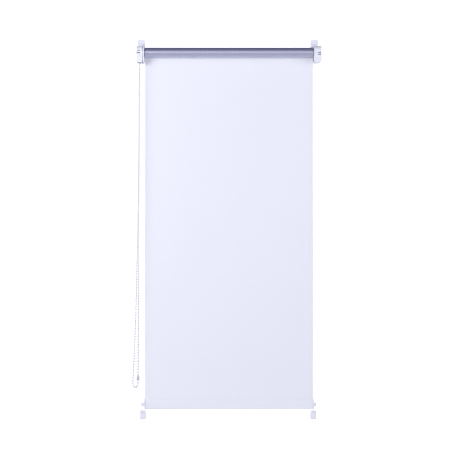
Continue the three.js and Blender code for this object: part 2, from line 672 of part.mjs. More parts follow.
const roller = [
  piece('roller_tube', ring(TUBE.radius - TUBE.wall, TUBE.radius, [-TUBE.half, TUBE.half], 32), 'aluminium'),
  piece('fabric_roll', fabricRoll(), 'silver'),
  piece('fixing_tape', fixingTape(), 'tape'),
  piece('chain_wheel', chainWheel(), 'acetal'),
  piece('drive_plug', drivePlug(), 'acetal'),
  piece('wrap_spring_outer', wrapSpring(-191.5), 'steel'),
  piece('wrap_spring_inner', wrapSpring(-179.6), 'steel'),
  piece('idle_plug', idlePlug(), 'acetal'),
  piece('idle_pin', idlePin(), 'acetal'),
  piece('idle_spring', pinSpring(), 'steel'),
];

const brackets = [
  piece('bracket_left', chainBracket(), 'abs'),
  piece('cheek_left', cheek(-1, HUB.radius + 0.6), 'abs'),
  piece('clutch_core', clutchCore(), 'acetal'),
  piece('core_screw', coreScrew(), 'steel'),
  piece('core_retainer', coreRetainer(), 'steel'),
  piece('bracket_right', bracketShell(1), 'abs'),
  piece('cheek_right', cheek(1, 4.8), 'abs'),
  piece('idle_bush', idleBush(), 'acetal'),
  ...SIDES.map((side) => piece(name('clamp_screw', side), clampScrew(side), 'steel')),
  ...SIDES.map((side) => piece(name('string_stop', side), stringStop(side), 'steel')),
];

const hangings = [
  piece('hem_pocket', hemPocket(), 'cloth'),
  piece('bottom_bar', bottomBar(), 'aluminium'),
  piece('fabric_drop', fabricDrop(), 'cloth'),
  ...SIDES.map((side) => piece(name('bar_cap', side), barCap(side), 'abs')),
];

const hooks = SIDES.map((side) => placed(HOOK_X[side > 0 ? 1 : 0], 0, 0, [
  piece(name('top_hook', side), topHook(side), 'abs'),
  placed(0, SASH.lip, 0, [piece(name('hook_jaw', side), hookJaw(), 'abs')]),
]));

const holders = SIDES.map((side) => placed(HOLDER_X[side > 0 ? 1 : 0], 0, 0, [
  piece(name('bottom_holder', side), bottomHolder(side), 'abs'),
]));

const stringScrews = SIDES.map((side) => placed(STRING.bottom[side > 0 ? 1 : 0], 0, 0, [
  piece(name('string_screw', side), stringScrew(), 'acetal'),
]));

const strings = SIDES.map((side) => piece(name('guide_string', side), guideString(side), 'nylon'));

const blind = new THREE.Group();
blind.add(
  placed(0, AXLE.y, AXLE.z, [...roller, ...brackets]),
  placed(-WHEEL.x, AXLE.y, AXLE.z, [piece('chain_wrap', chainWrap(), 'acetal')]),
  placed(0, CLOTH_Y, 0, hangings),
  ...hooks,
  ...holders,
  ...stringScrews,
  ...strings,
  piece('drive_chain', driveChain(), 'acetal'),
  placedConnector(),
);

export default blind;
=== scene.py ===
"""Looks of a clip-on roller blind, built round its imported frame.

Metres throughout: +X along the roller to the right, +Y into the window, +Z up.
"""

import json
import logging
import math
from dataclasses import dataclass, field
from enum import Enum

import bmesh
import bpy
import numpy as np
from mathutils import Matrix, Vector

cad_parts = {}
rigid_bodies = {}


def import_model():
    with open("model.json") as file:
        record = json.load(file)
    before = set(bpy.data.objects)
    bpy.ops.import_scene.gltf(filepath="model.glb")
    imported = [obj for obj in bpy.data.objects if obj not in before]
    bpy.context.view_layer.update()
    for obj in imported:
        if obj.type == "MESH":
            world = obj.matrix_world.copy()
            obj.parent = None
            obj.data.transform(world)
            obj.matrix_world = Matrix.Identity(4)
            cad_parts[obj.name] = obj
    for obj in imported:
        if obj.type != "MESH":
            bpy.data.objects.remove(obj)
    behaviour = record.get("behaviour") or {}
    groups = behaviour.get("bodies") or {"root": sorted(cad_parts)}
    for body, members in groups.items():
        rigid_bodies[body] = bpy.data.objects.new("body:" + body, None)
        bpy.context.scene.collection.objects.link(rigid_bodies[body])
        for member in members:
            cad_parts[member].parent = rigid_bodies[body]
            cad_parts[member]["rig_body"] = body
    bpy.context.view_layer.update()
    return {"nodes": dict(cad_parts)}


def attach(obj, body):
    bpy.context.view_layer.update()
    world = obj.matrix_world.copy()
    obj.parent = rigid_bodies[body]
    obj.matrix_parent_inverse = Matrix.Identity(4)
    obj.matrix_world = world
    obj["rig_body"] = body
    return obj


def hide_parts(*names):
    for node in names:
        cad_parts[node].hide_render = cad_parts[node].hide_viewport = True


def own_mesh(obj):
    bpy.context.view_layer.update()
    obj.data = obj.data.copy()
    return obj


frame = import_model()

LOG = logging.getLogger("roller_blind")
MM = 0.001
TURN = 2 * math.pi
LAY = "lay"  # the attribute that holds how far along and across a cloth or cord a point lies, in metres

# The axle's place, and the plane that the cloth hangs in.
AXLE_Y, AXLE_Z = -0.020, -0.0257
CLOTH_Y = -0.00905

# The chain's free loop, from the front of the wheel down, round the bend and up to its rear.
CHAIN_ROUTE = (
    (-0.1969, -0.02955, -0.0343),
    (-0.1970, -0.02951, -0.0500),
    (-0.1974, -0.02924, -0.1500),
    (-0.1983, -0.02891, -0.2700),
    (-0.1999, -0.02859, -0.3900),
    (-0.2022, -0.02826, -0.5100),
    (-0.2052, -0.02796, -0.6200),
    (-0.2084, -0.02774, -0.7000),
    (-0.2101, -0.02765, -0.7350),
    (-0.2108, -0.02760, -0.7524),
    (-0.2104, -0.02702, -0.75595),
    (-0.20925, -0.02537, -0.75896),
    (-0.20753, -0.02291, -0.76097),
    (-0.2055, -0.0200, -0.76167),
    (-0.20347, -0.01709, -0.76097),
    (-0.20175, -0.01463, -0.75896),
    (-0.2006, -0.01298, -0.75595),
    (-0.2002, -0.01240, -0.7524),
    (-0.20012, -0.01235, -0.7350),
    (-0.19996, -0.01226, -0.7000),
    (-0.19959, -0.01204, -0.6200),
    (-0.19908, -0.01174, -0.5100),
    (-0.19853, -0.01141, -0.3900),
    (-0.19798, -0.01109, -0.2700),
    (-0.19743, -0.01076, -0.1500),
    (-0.19697, -0.01049, -0.0500),
    (-0.1969, -0.01045, -0.0343),
)


# ---- mesh surfaces -----------------------------------------------------------------------------


def grid_faces(rows: int, cols: int, around: bool = False, flip: bool = False) -> np.ndarray:
    """The quads of a grid of rows by cols points, numbered row by row.

    Args:
        rows: How many rows of points.
        cols: How many points in a row.
        around: Whether each row closes on its own first point.
        flip: Whether the quads face the other way.

    Returns:
        An array of quads, four point numbers each.
    """
    row, col = np.meshgrid(np.arange(rows - 1), np.arange(cols if around else cols - 1), indexing="ij")
    after = (col + 1) % cols
    quads = [row * cols + col, row * cols + after, (row + 1) * cols + after, (row + 1) * cols + col]
    return np.stack(quads[::-1] if flip else quads, -1).reshape(-1, 4)


def mesh_object(name: str, points: np.ndarray, faces: list, finishes: list, choice: np.ndarray = None,
                lay: np.ndarray = None, smooth: bool = True) -> bpy.types.Object:
    """A mesh object at the origin, with its place in its points.

    Args:
        name: The piece's name.
        points: Its points, in metres.
        faces: Its faces, as lists of point numbers.
        finishes: Its materials.
        choice: Which material each face takes.
        lay: Each point's place along and across the cloth or cord, in metres.
        smooth: Whether its faces are shaded smoothly.

    Returns:
        The object, linked to the scene.
    """
    mesh = bpy.data.meshes.new(name)
    mesh.from_pydata(points.reshape(-1, 3).tolist(), [], [list(map(int, f)) for f in faces])
    for finish in finishes:
        mesh.materials.append(finish)
    if choice is not None:
        mesh.polygons.foreach_set("material_index", choice.astype(np.int32))
    mesh.polygons.foreach_set("use_smooth", np.full(len(mesh.polygons), smooth))
    if lay is not None:
        layer = mesh.attributes.new(LAY, "FLOAT_VECTOR", "POINT")
        layer.data.foreach_set("vector", lay.astype(np.float32).ravel())
    mesh.update()
    obj = bpy.data.objects.new(name, mesh)
    bpy.context.scene.collection.objects.link(obj)
    return obj


def turn_outwards(obj: bpy.types.Object) -> None:
    """Turns the faces of a closed mesh outwards."""
    shape = bmesh.new()
    shape.from_mesh(obj.data)
    bmesh.ops.recalc_face_normals(shape, faces=shape.faces)
    shape.to_mesh(obj.data)
    shape.free()


def sharpen(obj: bpy.types.Object, degrees: float = 35) -> None:
    """Keeps edges that turn by more than so many degrees sharp under smooth shading."""
    obj.data.set_sharp_from_angle(angle=math.radians(degrees))


def slab(name: str, front: np.ndarray, back: np.ndarray, finishes: list,
         lay: np.ndarray) -> bpy.types.Object:
    """A closed thin sheet between two grids of points: its front takes the first finish, its back the last.

    Args:
        name: The piece's name.
        front: The front face's points, rows by columns by three.
        back: The back face's points, of the same shape.
        finishes: The front's and the back's materials.
        lay: The place along and across the cloth of each point of one face.

    Returns:
        The sheet.
    """
    rows, cols = front.shape[:2]
    number = np.arange(rows * cols).reshape(rows, cols)
    rim = np.concatenate([number[0], number[1:, -1], number[-1, -2::-1], number[-2:0:-1, 0]])
    after, behind = np.roll(rim, -1), rows * cols
    sides = np.stack([rim, rim + behind, after + behind, after], -1)
    faces = np.concatenate([grid_faces(rows, cols), grid_faces(rows, cols, flip=True) + behind, sides])
    choice = np.zeros(len(faces))
    choice[(rows - 1) * (cols - 1):2 * (rows - 1) * (cols - 1)] = len(finishes) - 1
    points = np.concatenate([front.reshape(-1, 3), back.reshape(-1, 3)])
    flat = lay.reshape(-1, 3)
    piece = mesh_object(name, points, faces, finishes, choice, np.concatenate([flat, flat]))
    turn_outwards(piece)
    sharpen(piece)
    return piece


def evenly(points: np.ndarray, step: float) -> np.ndarray:
    """A smooth route through points, in even steps.

    Each span is a cubic whose slope at a point is the mean of its neighbours' slopes, each weighted by the
    other's length: p = h00 a + h10 d ma + h01 b + h11 d mb.

    Args:
        points: The points that it goes through.
        step: About how far apart its own points are.

    Returns:
        The route's points.
    """
    knots = np.asarray(points, float)
    chord = np.linalg.norm(np.diff(knots, axis=0), axis=1)
    slope = np.diff(knots, axis=0) / chord[:, None]
    inner = (slope[:-1] * chord[1:, None] + slope[1:] * chord[:-1, None]) / (chord[:-1] + chord[1:])[:, None]
    tangent = np.concatenate([slope[:1], inner, slope[-1:]])
    t = np.linspace(0, 1, 40, endpoint=False)[None, :, None]
    a, b, d = knots[:-1, None], knots[1:, None], chord[:, None, None]
    fine = ((2 * t**3 - 3 * t**2 + 1) * a + (t**3 - 2 * t**2 + t) * d * tangent[:-1, None]
            + (3 * t**2 - 2 * t**3) * b + (t**3 - t**2) * d * tangent[1:, None])
    fine = np.concatenate([fine.reshape(-1, knots.shape[1]), knots[-1:]])
    run = np.concatenate([[0], np.cumsum(np.linalg.norm(np.diff(fine, axis=0), axis=1))])
    return at_lengths(fine, run, np.linspace(0, run[-1], max(2, round(run[-1] / step) + 1)))


def at_lengths(line: np.ndarray, run: np.ndarray, lengths: np.ndarray) -> np.ndarray:
    """The points of a line at these lengths along it, where run is each of its points' own length."""
    return np.stack([np.interp(lengths, run, line[:, k]) for k in range(line.shape[1])], -1)


def run_of(line: np.ndarray) -> np.ndarray:
    """How far along a line each of its points lies."""
    return np.concatenate([[0], np.cumsum(np.linalg.norm(np.diff(line, axis=0), axis=1))])


def frames(line: np.ndarray, across: tuple) -> tuple:
    """Three unit vectors at each point of a line: along it, and two square to it.

    Args:
        line: The line's points.
        across: A direction that the line never runs in.

    Returns:
        The tangents t, the sides n = across x t, and b = t x n, all of unit length.
    """
    tangent = np.gradient(line, axis=0)
    tangent /= np.linalg.norm(tangent, axis=1, keepdims=True)
    side = np.cross(np.asarray(across, float), tangent)
    side /= np.linalg.norm(side, axis=1, keepdims=True)
    return tangent, side, np.cross(tangent, side)


def tube(line: np.ndarray, radius: float, across: tuple, sides: int) -> tuple:
    """A round tube along a line, with flat ends: p = line + radius (n cos a + b sin a).

    Args:
        line: The middle line's points.
        radius: The tube's radius, one number or one for each point.
        across: A direction that the line never runs in.
        sides: How many sides its section has.

    Returns:
        Its points and its faces.
    """
    _, side, other = frames(line, across)
    angle = np.arange(sides) * TURN / sides
    reach = np.broadcast_to(radius, len(line))[:, None, None]
    ring = side[:, None] * np.cos(angle)[None, :, None] + other[:, None] * np.sin(angle)[None, :, None]
    points = line[:, None] + reach * ring
    last = (len(line) - 1) * sides
    ends = [list(range(sides))[::-1], list(range(last, last + sides))]
    return points.reshape(-1, 3), [*grid_faces(len(line), sides, around=True).tolist(), *ends]


def beads(centres: np.ndarray, along: np.ndarray, side: np.ndarray, radius: float, sides: int = 8,
          rings: int = 5) -> tuple:
    """Round beads threaded on a line, each a few dozen faces, with its poles on the line.

    A bead's point is centre + radius (t cos u + (n cos v + b sin v) sin u).

    Args:
        centres: The beads' centres.
        along: The line's direction at each.
        side: A direction square to it at each.
        radius: A bead's radius.
        sides: How many points each ring has.
        rings: How many rings each bead has between its poles.

    Returns:
        Their points and their faces.
    """
    other = np.cross(along, side)
    u = np.arange(1, rings + 1) * math.pi / (rings + 1)
    v = np.arange(sides) * TURN / sides
    ring = side[:, None] * np.cos(v)[None, :, None] + other[:, None] * np.sin(v)[None, :, None]
    body = (along[:, None, None] * np.cos(u)[None, :, None, None]
            + ring[:, None] * np.sin(u)[None, :, None, None])
    body = centres[:, None, None] + radius * body
    poles = np.stack([centres + radius * along, centres - radius * along], 1)
    each = rings * sides + 2
    points = np.concatenate([body.reshape(len(centres), -1, 3), poles], 1)
    start = np.arange(len(centres))[:, None, None] * each
    belt = (grid_faces(rings, sides, around=True, flip=True)[None] + start).reshape(-1, 4)
    first, after = np.arange(sides), (np.arange(sides) + 1) % sides
    top = np.stack([np.full(sides, each - 2), first, after], -1)
    foot = np.stack([np.full(sides, each - 1), after + each - 2 - sides, first + each - 2 - sides], -1)
    caps = (np.concatenate([top, foot])[None] + start).reshape(-1, 3)
    return points.reshape(-1, 3), [*belt.tolist(), *caps.tolist()]


def joined(*parts: tuple) -> tuple:
    """Several meshes' points and faces as one mesh's."""
    points, faces, count = [], [], 0
    for some, quads in parts:
        faces += [[n + count for n in face] for face in quads]
        points.append(some)
        count += len(some)
    return np.concatenate(points), faces


def turned(profile: list, sides: int) -> tuple:
    """A ring turned round the roller's axle from a closed profile of (x, radius): p = (x, r cos a, r sin a).

    Args:
        profile: The profile's corners.
        sides: How many sides the ring has.

    Returns:
        Its points and its faces.
    """
    x, r = np.asarray(profile, float).T
    angle = np.arange(sides) * TURN / sides
    y = AXLE_Y + r[:, None] * np.cos(angle)
    z = AXLE_Z + r[:, None] * np.sin(angle)
    points = np.stack([np.broadcast_to(x[:, None], y.shape), y, z], -1)
    closed = np.concatenate([points, points[:1]])
    faces = grid_faces(len(closed), sides, around=True) % (len(points) * sides)
    return points.reshape(-1, 3), faces.tolist()


# ---- finishes ----------------------------------------------------------------------------------


def linear(colour: str) -> tuple:
    """An sRGB colour such as '#f0f1f6' as the linear red, green, blue and alpha that a shader takes."""
    srgb = np.array([int(colour[i:i + 2], 16) for i in (1, 3, 5)]) / 255
    plain = np.where(srgb <= 0.04045, srgb / 12.92, ((srgb + 0.055) / 1.055) ** 2.4)
    return (*plain.tolist(), 1.0)


def add(tree: bpy.types.NodeTree, kind: str, inputs: dict = None, **settings: object) -> bpy.types.Node:
    """Adds a node, makes its settings, and sets or links its inputs.

    Args:
        tree: The tree that it goes in.
        kind: Its type, without the ShaderNode in front.
        inputs: Its inputs by name or number, each a value or another node's output.
        settings: Its own properties.

    Returns:
        The node.
    """
    node = tree.nodes.new("ShaderNode" + kind)
    for name, value in settings.items():
        setattr(node, name, value)
    for name, value in (inputs or {}).items():
        if isinstance(value, bpy.types.NodeSocket):
            tree.links.new(value, node.inputs[name])
        else:
            node.inputs[name].default_value = value
    return node


def ramp(tree: bpy.types.NodeTree, factor: bpy.types.NodeSocket, stops: list) -> bpy.types.NodeSocket:
    """The colour or grey that a ramp gives a factor, from stops of (place, colour)."""
    node = add(tree, "ValToRGB", {"Fac": factor})
    bar = node.color_ramp.elements
    while len(bar) < len(stops):
        bar.new(0.5)
    for element, (place, colour) in zip(bar, stops):
        element.position = place
        element.color = linear(colour) if isinstance(colour, str) else (colour, colour, colour, 1)
    return node.outputs["Color"]


def noise(tree: bpy.types.NodeTree, where: bpy.types.NodeSocket, size: float, detail: float = 3,
          roughness: float = 0.5) -> bpy.types.NodeSocket:
    """The grey of a noise whose blotches are about size metres across."""
    inputs = {"Vector": where, "Scale": 1 / size, "Detail": detail, "Roughness": roughness}
    return add(tree, "TexNoise", inputs).outputs["Fac"]


def stretched(tree: bpy.types.NodeTree, where: bpy.types.NodeSocket, scale: tuple) -> bpy.types.NodeSocket:
    """A place scaled differently along each axis."""
    return add(tree, "Mapping", {"Vector": where, "Scale": scale}).outputs["Vector"]


def new_material(name: str) -> tuple:
    """A material with only its shader.

    Args:
        name: The material's name.

    Returns:
        The material, its node tree and its Principled shader.
    """
    material = bpy.data.materials.new(name)
    material.use_nodes = True
    tree = material.node_tree
    tree.nodes.clear()
    shader = add(tree, "BsdfPrincipled")
    add(tree, "OutputMaterial", {"Surface": shader.outputs[0]})
    return material, tree, shader


def set_sockets(shader: bpy.types.Node, **values: float) -> None:
    """Sets constants on a shader's own sockets; an underscore stands for a space."""
    for name, value in values.items():
        shader.inputs[name.replace("_", " ")].default_value = value


@dataclass(frozen=True)
class MouldedPlastic:
    """Injection-moulded plastic: even and slightly see-through, with the fine grain that a spark-eroded
    mould leaves, faint flow marks, and a soft gloss that varies a little from place to place."""

    name: str
    slot: str
    light: str
    dark: str
    gloss: tuple = (0.32, 0.42)
    grain: float = 0.5 * MM  # mould grain is about 0.05 mm; drawn ten times as coarse, so that it shows
    relief: float = 0.012 * MM
    glow: float = 0.06
    ior: float = 1.49

    def make(self) -> bpy.types.Material:
        """The material."""
        material, tree, shader = new_material(self.name)
        where = add(tree, "TexCoord").outputs["Object"]
        flow = noise(tree, stretched(tree, where, (1, 1, 0.45)), 14 * MM, 2)
        tint = ramp(tree, flow, [(0.3, self.dark), (0.7, self.light)])
        rub = noise(tree, where, 5 * MM, 4, 0.6)
        spread = add(tree, "MapRange", {"Value": rub, "From Min": 0.3, "From Max": 0.7,
                                        "To Min": self.gloss[0], "To Max": self.gloss[1]})
        grain = noise(tree, where, self.grain, 2)
        bump = add(tree, "Bump", {"Strength": 0.35, "Distance": self.relief, "Height": grain})
        tree.links.new(tint, shader.inputs["Base Color"])
        tree.links.new(spread.outputs[0], shader.inputs["Roughness"])
        tree.links.new(bump.outputs[0], shader.inputs["Normal"])
        set_sockets(shader, IOR=self.ior, Subsurface_Weight=self.glow, Subsurface_Scale=1.2 * MM)
        shader.inputs["Subsurface Radius"].default_value = (1.0, 0.95, 0.9)
        return material


@dataclass(frozen=True)
class DrawnAluminium:
    """Mill-finish aluminium drawn through a die: long fine lines along it and a soft, slightly cloudy
    shine, from the thin oxide that grows on it."""

    name: str = "drawn_aluminium"
    slot: str = "aluminium"

    def make(self) -> bpy.types.Material:
        """The material."""
        material, tree, shader = new_material(self.name)
        where = add(tree, "TexCoord").outputs["Object"]
        # Die lines are some 0.02 mm wide; drawn at 0.2 mm, a thousand times as long as they are wide.
        lines = noise(tree, stretched(tree, where, (0.001, 1, 1)), 0.2 * MM, 2)
        cloud = noise(tree, where, 9 * MM, 3)
        tint = ramp(tree, cloud, [(0.3, "#b4b7bc"), (0.7, "#c6c8cc")])
        rough = add(tree, "MapRange", {"Value": lines, "To Min": 0.24, "To Max": 0.44})
        bump = add(tree, "Bump", {"Strength": 0.3, "Distance": 0.01 * MM, "Height": lines})
        tree.links.new(tint, shader.inputs["Base Color"])
        tree.links.new(rough.outputs[0], shader.inputs["Roughness"])
        tree.links.new(bump.outputs[0], shader.inputs["Normal"])
        set_sockets(shader, Metallic=1.0, Anisotropic=0.4)
        return material


@dataclass(frozen=True)
class ZincPlatedSteel:
    """Bright zinc on steel wire, rings and screws: a bluish shine over slightly uneven crystals, dulled
    in patches by handling."""

    name: str = "zinc_plated_steel"
    slot: str = "steel"

    def make(self) -> bpy.types.Material:
        """The material."""
        material, tree, shader = new_material(self.name)
        where = add(tree, "TexCoord").outputs["Object"]
        crystal = add(tree, "TexVoronoi", {"Vector": where, "Scale": 1 / (0.6 * MM)}).outputs["Distance"]
        patch = noise(tree, where, 3 * MM, 3)
        tint = ramp(tree, patch, [(0.3, "#a4a8ae"), (0.7, "#c2c6cc")])
        rough = add(tree, "MapRange", {"Value": patch, "To Min": 0.22, "To Max": 0.42})
        bump = add(tree, "Bump", {"Strength": 0.15, "Distance": 0.01 * MM, "Height": crystal})
        tree.links.new(tint, shader.inputs["Base Color"])
        tree.links.new(rough.outputs[0], shader.inputs["Roughness"])
        tree.links.new(bump.outputs[0], shader.inputs["Normal"])
        set_sockets(shader, Metallic=1.0)
        return material


def weave(tree: bpy.types.NodeTree, where: bpy.types.NodeSocket, pitch: float) -> bpy.types.NodeSocket:
    """The height of a plain weave with threads so far apart: warp and weft pass over each other in turn.

    Height is 0.5 + 0.5 sin(pi x / pitch) sin(pi y / pitch), from the place along and across the cloth.

    Args:
        tree: The tree that it goes in.
        where: The place along and across the cloth, in metres.
        pitch: The threads' spacing in metres.

    Returns:
        The height, from 0 to 1.
    """
    parts = add(tree, "SeparateXYZ", {0: where})
    waves = []
    for axis in ("X", "Y"):
        turn = add(tree, "Math", {0: parts.outputs[axis], 1: math.pi / pitch}, operation="MULTIPLY")
        waves.append(add(tree, "Math", {0: turn.outputs[0]}, operation="SINE").outputs[0])
    both = add(tree, "Math", {0: waves[0], 1: waves[1]}, operation="MULTIPLY")
    return add(tree, "Math", {0: both.outputs[0], 1: 0.5, 2: 0.5}, operation="MULTIPLY_ADD").outputs[0]


@dataclass(frozen=True)
class WovenPolyester:
    """White blackout cloth, plain-woven from polyester: matt, with a bluish cast from its coated back,
    threads of slightly uneven thickness, and a soft sheen at a flat angle."""

    name: str = "woven_polyester"
    slot: str = "white_cloth"
    pitch: float = 0.45 * MM
    light: str = "#e8eaf2"
    dark: str = "#e4e6ef"

    def make(self) -> bpy.types.Material:
        """The material."""
        material, tree, shader = new_material(self.name)
        where = add(tree, "Attribute", attribute_name=LAY).outputs["Vector"]
        # Slubs: threads run thicker for some 40 mm at a time, a few threads wide.
        warp = noise(tree, stretched(tree, where, (1, 0.03, 1)), 1.1 * MM, 2)
        weft = noise(tree, stretched(tree, where, (0.03, 1, 1)), 1.1 * MM, 2)
        slub = add(tree, "Math", {0: warp, 1: weft}, operation="ADD").outputs[0]
        cloud = noise(tree, where, 90 * MM, 2)
        tone = add(tree, "Math", {0: cloud, 1: 0.25, 2: slub}, operation="MULTIPLY_ADD").outputs[0]
        tint = ramp(tree, tone, [(0.7, self.dark), (1.5, self.light)])
        threads = weave(tree, where, self.pitch)
        height = add(tree, "Math", {0: slub, 1: 0.6, 2: threads}, operation="MULTIPLY_ADD").outputs[0]
        bump = add(tree, "Bump", {"Strength": 0.4, "Distance": 0.05 * MM, "Height": height})
        rough = add(tree, "MapRange", {"Value": slub, "From Min": 0.6, "From Max": 1.4,
                                       "To Min": 0.72, "To Max": 0.86})
        tree.links.new(tint, shader.inputs["Base Color"])
        tree.links.new(rough.outputs[0], shader.inputs["Roughness"])
        tree.links.new(bump.outputs[0], shader.inputs["Normal"])
        set_sockets(shader, IOR=1.45, Sheen_Weight=0.12, Sheen_Roughness=0.45, Specular_IOR_Level=0.3)
        return material


@dataclass(frozen=True)
class MetallisedCoating:
    """Aluminium-coloured coating on the cloth's window side: a satin, bluish silver that carries the
    weave faintly, with long soft streaks where the coating knife ran along the cloth."""

    name: str = "metallised_coating"
    slot: str = "silver_coating"
    pitch: float = 0.45 * MM
    light: str = "#c0c1d7"
    dark: str = "#bbbcd3"

    def make(self) -> bpy.types.Material:
        """The material."""
        material, tree, shader = new_material(self.name)
        where = add(tree, "Attribute", attribute_name=LAY).outputs["Vector"]
        streak = noise(tree, stretched(tree, where, (1, 0.02, 1)), 5 * MM, 3)
        fleck = noise(tree, where, 1.5 * MM, 2)
        tint = ramp(tree, streak, [(0.3, self.dark), (0.7, self.light)])
        threads = weave(tree, where, self.pitch)
        bump = add(tree, "Bump", {"Strength": 0.2, "Distance": 0.03 * MM, "Height": threads})
        rough = add(tree, "MapRange", {"Value": fleck, "From Min": 0.3, "From Max": 0.7,
                                       "To Min": 0.3, "To Max": 0.4})
        tree.links.new(tint, shader.inputs["Base Color"])
        tree.links.new(rough.outputs[0], shader.inputs["Roughness"])
        tree.links.new(bump.outputs[0], shader.inputs["Normal"])
        set_sockets(shader, Metallic=0.9)
        return material


@dataclass(frozen=True)
class NylonMonofilament:
    """Nylon drawn into a single clear-white thread: smooth and shiny, milky, with faint draw marks."""

    name: str = "nylon_monofilament"
    slot: str = "nylon"

    def make(self) -> bpy.types.Material:
        """The material."""
        material, tree, shader = new_material(self.name)
        where = add(tree, "TexCoord").outputs["Object"]
        marks = noise(tree, stretched(tree, where, (1, 1, 0.05)), 0.4 * MM, 2)
        tint = ramp(tree, marks, [(0.3, "#e6e8ee"), (0.7, "#f4f5f9")])
        rough = add(tree, "MapRange", {"Value": marks, "To Min": 0.22, "To Max": 0.38})
        tree.links.new(tint, shader.inputs["Base Color"])
        tree.links.new(rough.outputs[0], shader.inputs["Roughness"])
        set_sockets(shader, IOR=1.53, Subsurface_Weight=0.2, Subsurface_Scale=0.5 * MM)
        return material


@dataclass(frozen=True)
class AdhesiveTape:
    """Double-sided tape: a yellowish film with the crossed threads of its carrier showing through."""

    name: str = "adhesive_tape"
    slot: str = "tape"

    def make(self) -> bpy.types.Material:
        """The material."""
        material, tree, shader = new_material(self.name)
        where = add(tree, "TexCoord").outputs["Object"]
        threads = noise(tree, stretched(tree, where, (1, 0.1, 0.1)), 0.8 * MM, 2)
        tint = ramp(tree, threads, [(0.3, "#cbbf98"), (0.7, "#ddd3b2")])
        bump = add(tree, "Bump", {"Strength": 0.3, "Distance": 0.03 * MM, "Height": threads})
        tree.links.new(tint, shader.inputs["Base Color"])
        tree.links.new(bump.outputs[0], shader.inputs["Normal"])
        set_sockets(shader, Roughness=0.55, IOR=1.47)
        return material


class Finish(Enum):
    """The blind's finishes."""

    ABS = MouldedPlastic("moulded_abs", "white_abs", "#ebecf4", "#e4e6f0")
    ACETAL = MouldedPlastic("moulded_acetal", "acetal", "#e9ebf1", "#dfe2ea", (0.4, 0.52), glow=0.12,
                            ior=1.48)
    CHAIN = MouldedPlastic("moulded_chain_plastic", "chain_plastic", "#e7e6e9", "#dddce0", (0.26, 0.36),
                           glow=0.15)
    ALUMINIUM = DrawnAluminium()
    STEEL = ZincPlatedSteel()
    CLOTH = WovenPolyester()
    SILVER = MetallisedCoating()
    NYLON = NylonMonofilament()
    TAPE = AdhesiveTape()

    @property
    def material(self) -> bpy.types.Material:
        """This finish's material, made at its first use."""
        return bpy.data.materials.get(self.value.name) or self.value.make()


# ---- dressing CAD pieces -----------------------------------------------------------------------


def settle(piece: bpy.types.Object, body: str, finish: Finish, *nodes: str) -> bpy.types.Object:
    """Makes a piece ride on a body and stand for CAD nodes, which it hides."""
    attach(piece, body)
    if nodes:
        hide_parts(*nodes)
    LOG.info("%s: %d faces, on %s", piece.name, len(piece.data.polygons), body)
    return piece


def dress(node: str, finish: Finish) -> None:
    """Gives a CAD node that stays its finish."""
    piece = frame["nodes"][node]
    for place in piece.material_slots:
        place.material = finish.material
    if not piece.material_slots:
        piece.data.materials.append(finish.material)
    LOG.info("%s: as the CAD has it, in %s", node, finish.value.name)


def softened(node: str, finish: Finish, edge: float, crease: float = 28) -> bpy.types.Object:
    """A copy of a CAD node with its edges rounded, as a mould or a lathe leaves them.

    Args:
        node: The CAD node, which the copy stands for.
        finish: Its finish.
        edge: The rounding's width in metres.
        crease: The turn in degrees past which an edge is rounded.

    Returns:
        The copy.
    """
    source = frame["nodes"][node]
    shape = bmesh.new()
    shape.from_mesh(source.data)
    bmesh.ops.remove_doubles(shape, verts=shape.verts, dist=2e-6)
    bmesh.ops.dissolve_limit(shape, angle_limit=math.radians(0.8), verts=shape.verts, edges=shape.edges)
    shape.verts.index_update()
    points = np.array([v.co for v in shape.verts])
    faces = [[v.index for v in face.verts] for face in shape.faces]
    shape.free()
    piece = mesh_object(node + "_made", points, faces, [finish.material])
    rounding = piece.modifiers.new("rounding", "BEVEL")
    rounding.width = edge
    rounding.segments = 2
    rounding.limit_method = "ANGLE"
    rounding.angle_limit = math.radians(crease)
    rounding.harden_normals = True
    rounding.use_clamp_overlap = True
    return settle(piece, source["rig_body"], finish, node)


# ---- the blind's sub-assemblies ----------------------------------------------------------------


